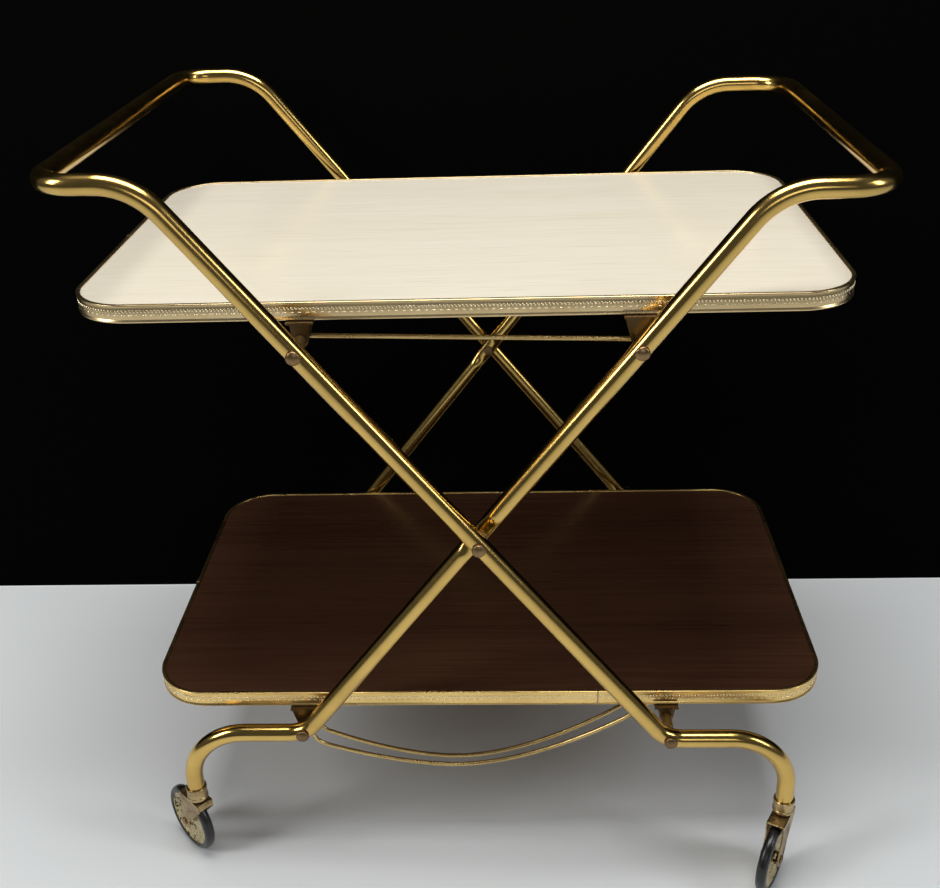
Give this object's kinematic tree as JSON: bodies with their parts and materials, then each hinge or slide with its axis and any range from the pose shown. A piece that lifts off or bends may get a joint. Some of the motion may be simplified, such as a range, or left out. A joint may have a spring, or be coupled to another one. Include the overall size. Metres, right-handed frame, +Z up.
{
  "type": "folding tray trolley on castors",
  "caption": "Folding tea trolley: crossed round tube frames with end handles carry an upper and a lower rounded tray, and run on swivel castors.",
  "frame": {"origin": "floor level under the crossing of the legs, half way between the front and rear legs", "axes": "+Z up, +X towards the right-hand handle seen from the front, the front faces -Y"},
  "size_m": [0.7085, 0.5882, 0.7528],
  "materials": {
    "polished_brass": "polished plated tube, bright, with fine wear",
    "embossed_brass": "thin rolled edge band with an embossed rope line",
    "dull_brass": "tarnished plating on pressed fittings",
    "browned_brass": "browned and oxidised rivet heads",
    "pitted_brass": "plating with dark pits",
    "black_rubber": "hard smooth rubber, slightly glossy",
    "particle_board": "raw pressed board",
    "pale_laminate": "semi-gloss pale wood-grain laminate",
    "walnut_laminate": "semi-gloss dark walnut-grain laminate"
  },
  "bodies": {
    "outer_frame": {"outer_frame_tube": "polished_brass", "pin_centre_front": "browned_brass", "pin_centre_rear": "browned_brass", "washer_centre_front": "polished_brass", "washer_centre_rear": "polished_brass", "pin_upper_left_front": "browned_brass", "pin_upper_left_rear": "browned_brass", "pin_lower_right_front": "browned_brass", "pin_lower_right_rear": "browned_brass", "spacer_upper_left_front": "polished_brass", "spacer_upper_left_rear": "polished_brass", "spacer_lower_right_front": "polished_brass", "spacer_lower_right_rear": "polished_brass", "socket_front_right": "dull_brass", "socket_rear_right": "dull_brass"},
    "inner_frame": {"inner_frame_tube": "polished_brass", "pin_upper_right_front": "browned_brass", "pin_upper_right_rear": "browned_brass", "pin_lower_left_front": "browned_brass", "pin_lower_left_rear": "browned_brass", "socket_front_left": "dull_brass", "socket_rear_left": "dull_brass"},
    "top_tray": {"top_tray_board": "particle_board", "top_tray_laminate": "pale_laminate", "top_tray_edge_band": "embossed_brass", "top_hinge_front": "dull_brass", "top_hinge_rear": "dull_brass", "top_catch_front": "dull_brass", "top_catch_rear": "dull_brass", "top_tie_rod_front": "polished_brass", "top_tie_rod_rear": "polished_brass"},
    "lower_tray": {"low_tray_board": "particle_board", "low_tray_laminate": "walnut_laminate", "low_tray_edge_band": "embossed_brass", "low_hinge_front": "dull_brass", "low_hinge_rear": "dull_brass", "low_catch_front": "dull_brass", "low_catch_rear": "dull_brass", "low_outer_wire_front": "polished_brass", "low_outer_wire_rear": "polished_brass", "low_inner_wire_front": "polished_brass", "low_inner_wire_rear": "polished_brass"},
    "castor_front_left": {"fork_front_left": "dull_brass", "axle_front_left": "browned_brass"},
    "wheel_front_left": {"hub_front_left": "pitted_brass", "tyre_front_left": "black_rubber"},
    "castor_front_right": {"fork_front_right": "dull_brass", "axle_front_right": "browned_brass"},
    "wheel_front_right": {"hub_front_right": "pitted_brass", "tyre_front_right": "black_rubber"},
    "castor_rear_left": {"fork_rear_left": "dull_brass", "axle_rear_left": "browned_brass"},
    "wheel_rear_left": {"hub_rear_left": "pitted_brass", "tyre_rear_left": "black_rubber"},
    "castor_rear_right": {"fork_rear_right": "dull_brass", "axle_rear_right": "browned_brass"},
    "wheel_rear_right": {"hub_rear_right": "pitted_brass", "tyre_rear_right": "black_rubber"}
  },
  "joints": [
    {"name": "frame_fold", "type": "hinge", "parent": "outer_frame", "child": "inner_frame", "pos_m": [0, 0, 0.406], "axis": [0, -1, 0], "range_deg": [0, 58]},
    {"name": "top_tray_tilt", "type": "hinge", "parent": "outer_frame", "child": "top_tray", "pos_m": [-0.14917, 0, 0.597], "axis": [0, -1, 0], "range_deg": [0, 41]},
    {"name": "lower_tray_tilt", "type": "hinge", "parent": "outer_frame", "child": "lower_tray", "pos_m": [0.183, 0, 0.1802], "axis": [0, 1, 0], "range_deg": [0, 21]},
    {"name": "castor_swivel_front_left", "type": "hinge", "parent": "inner_frame", "child": "castor_front_left", "pos_m": [-0.3085, -0.2215, 0.0826], "axis": [0, 0, 1], "continuous": true},
    {"name": "wheel_spin_front_left", "type": "hinge", "parent": "castor_front_left", "child": "wheel_front_left", "pos_m": [-0.32504, -0.20552, 0.038], "axis": [-0.6947, -0.7193, 0], "continuous": true},
    {"name": "castor_swivel_front_right", "type": "hinge", "parent": "outer_frame", "child": "castor_front_right", "pos_m": [0.303, -0.2403, 0.0826], "axis": [0, 0, 1], "continuous": true},
    {"name": "wheel_spin_front_right", "type": "hinge", "parent": "castor_front_right", "child": "wheel_front_right", "pos_m": [0.2915, -0.26022, 0.038], "axis": [0.866, -0.5, 0], "continuous": true},
    {"name": "castor_swivel_rear_left", "type": "hinge", "parent": "inner_frame", "child": "castor_rear_left", "pos_m": [-0.3085, 0.2215, 0.0826], "axis": [0, 0, 1], "continuous": true},
    {"name": "wheel_spin_rear_left", "type": "hinge", "parent": "castor_rear_left", "child": "wheel_rear_left", "pos_m": [-0.32504, 0.20552, 0.038], "axis": [0.6947, -0.7193, 0], "continuous": true},
    {"name": "castor_swivel_rear_right", "type": "hinge", "parent": "outer_frame", "child": "castor_rear_right", "pos_m": [0.303, 0.2403, 0.0826], "axis": [0, 0, 1], "continuous": true},
    {"name": "wheel_spin_rear_right", "type": "hinge", "parent": "castor_rear_right", "child": "wheel_rear_right", "pos_m": [0.2915, 0.26022, 0.038], "axis": [-0.866, -0.5, 0], "continuous": true}
  ],
  "couplings": [
    {"joint": "top_tray_tilt", "follows": "frame_fold", "ratio": 0.69},
    {"joint": "lower_tray_tilt", "follows": "frame_fold", "ratio": 0.345}
  ]
}
